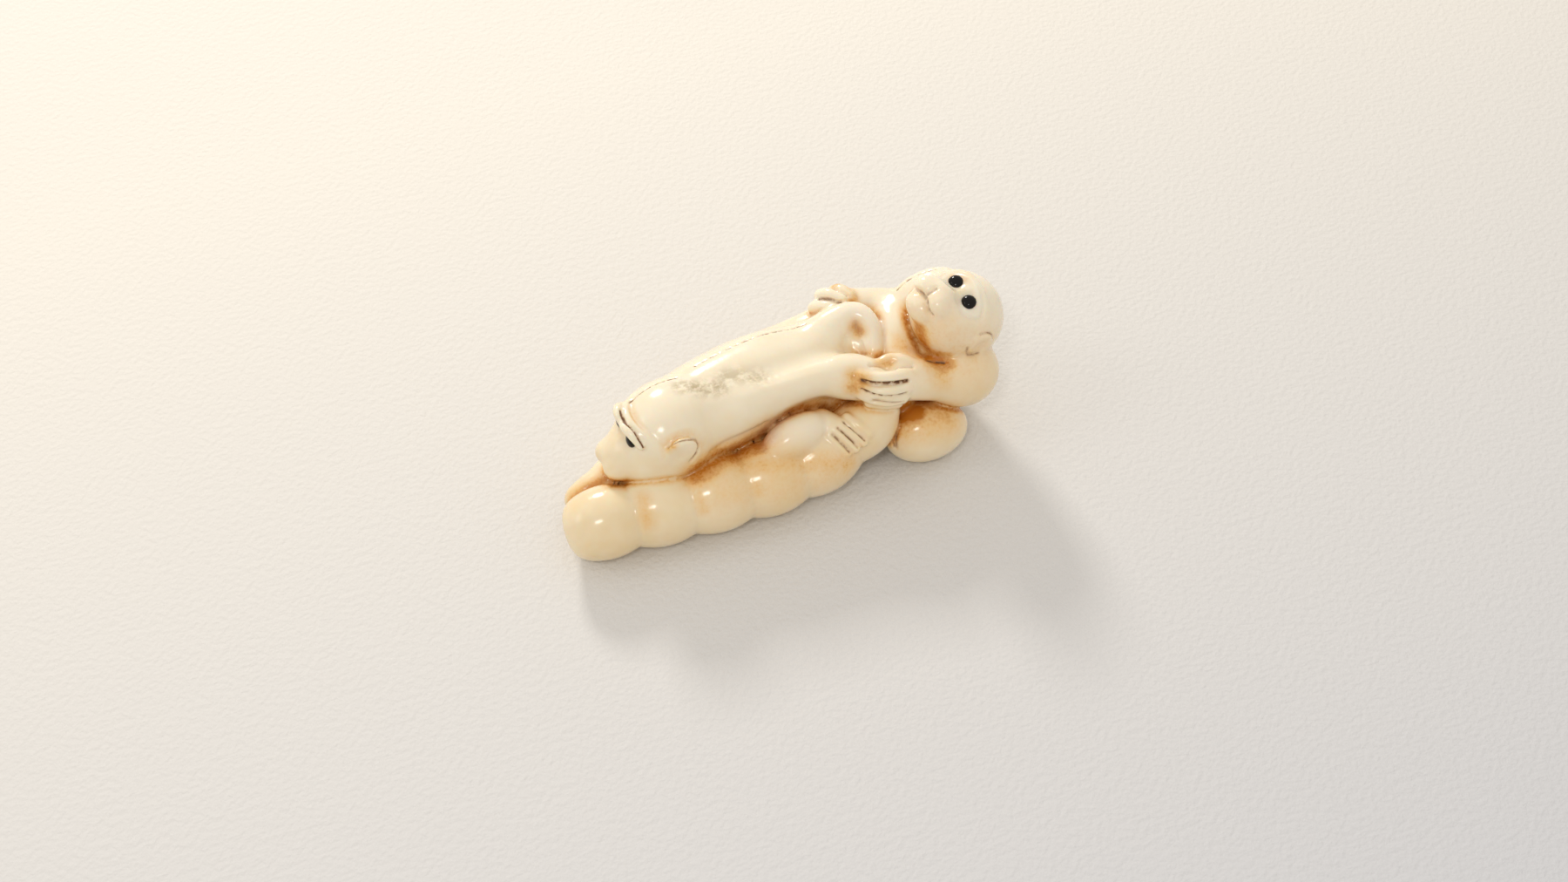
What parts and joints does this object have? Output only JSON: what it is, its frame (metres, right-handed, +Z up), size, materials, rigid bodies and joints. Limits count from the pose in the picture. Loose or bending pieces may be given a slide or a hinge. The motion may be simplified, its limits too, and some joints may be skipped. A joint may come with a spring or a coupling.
{
  "type": "netsuke",
  "caption": "Ivory-coloured netsuke of monkeys lying on knobbly bean pods, one clasping the other's hand, with inlaid black eyes.",
  "frame": {"origin": "bottom centre of the box round the netsuke, on the worn flat underside", "axes": "+X along the carving, from the stretched-out monkey's face to the crouching monkey's back; +Y to the far side; +Z up"},
  "size_m": [0.0518, 0.0204, 0.0198],
  "materials": {
    "ivory": "hand-polished ivory colour, amber stain in the hollows, dark dirt in the cut lines",
    "eye_black": "polished black inlay"
  },
  "bodies": {
    "root": {"carved_body": "ivory", "eye_A_left": "eye_black", "eye_A_right": "eye_black", "eye_B_left": "eye_black", "eye_B_right": "eye_black"}
  },
  "joints": []
}
